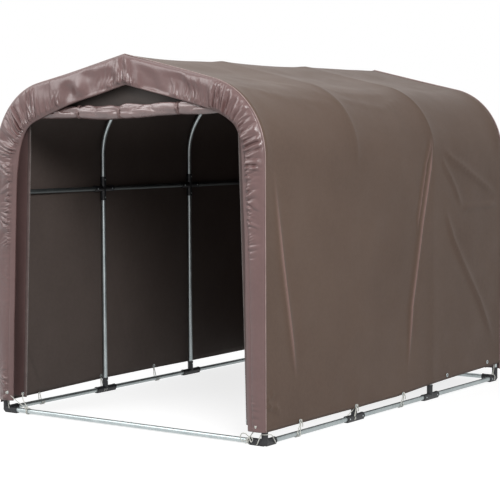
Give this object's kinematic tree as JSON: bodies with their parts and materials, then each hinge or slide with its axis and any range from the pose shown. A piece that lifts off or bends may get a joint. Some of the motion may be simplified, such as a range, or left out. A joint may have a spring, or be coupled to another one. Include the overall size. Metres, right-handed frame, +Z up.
{
  "type": "bicycle shelter",
  "caption": "Tunnel-shaped bicycle shelter: a bent steel pipe frame on moulded joints, under a fabric cover with gathered ends, a rolled-up door curtain and a rear sheet.",
  "frame": {"origin": "centre of the shelter's footprint, on the ground under the joints' feet", "axes": "+Z up, -Y out of the door end, +X to the right of someone who faces the door from outside"},
  "size_m": [1.5264, 2.222, 1.6622],
  "materials": {
    "galvanised_pipe": "galvanised, satin",
    "black_joint": "moulded, matte",
    "cover_cloth": "coated brown cloth, soft sheen",
    "curtain_cloth": "thin brown cloth, soft sheen",
    "strap_web": "brown woven tape"
  },
  "bodies": {
    "root": {"base_joints_left": "black_joint", "base_joints_right": "black_joint", "corner_joint_front_left": "black_joint", "corner_joint_front_right": "black_joint", "corner_joint_rear_left": "black_joint", "corner_joint_rear_right": "black_joint", "cover_sheet": "cover_cloth", "curtain_gable": "curtain_cloth", "curtain_roll": "curtain_cloth", "curtain_strip_left": "curtain_cloth", "curtain_strip_right": "curtain_cloth", "front_band": "cover_cloth", "front_sill_left": "galvanised_pipe", "front_sill_right": "galvanised_pipe", "leg_left_1": "galvanised_pipe", "leg_left_2": "galvanised_pipe", "leg_left_3": "galvanised_pipe", "leg_left_4": "galvanised_pipe", "leg_right_1": "galvanised_pipe", "leg_right_2": "galvanised_pipe", "leg_right_3": "galvanised_pipe", "leg_right_4": "galvanised_pipe", "rear_band": "cover_cloth", "rear_sheet": "curtain_cloth", "rear_sill_left": "galvanised_pipe", "rear_sill_right": "galvanised_pipe", "ridge_joints": "black_joint", "ridge_rails": "galvanised_pipe", "roll_straps": "strap_web", "roof_pipe_left_1": "galvanised_pipe", "roof_pipe_left_2": "galvanised_pipe", "roof_pipe_left_3": "galvanised_pipe", "roof_pipe_left_4": "galvanised_pipe", "roof_pipe_right_1": "galvanised_pipe", "roof_pipe_right_2": "galvanised_pipe", "roof_pipe_right_3": "galvanised_pipe", "roof_pipe_right_4": "galvanised_pipe", "side_sills_left": "galvanised_pipe", "side_sills_right": "galvanised_pipe", "sill_splices": "galvanised_pipe", "wall_joints_left": "black_joint", "wall_joints_right": "black_joint", "wall_rails_left": "galvanised_pipe", "wall_rails_right": "galvanised_pipe"}
  },
  "joints": []
}
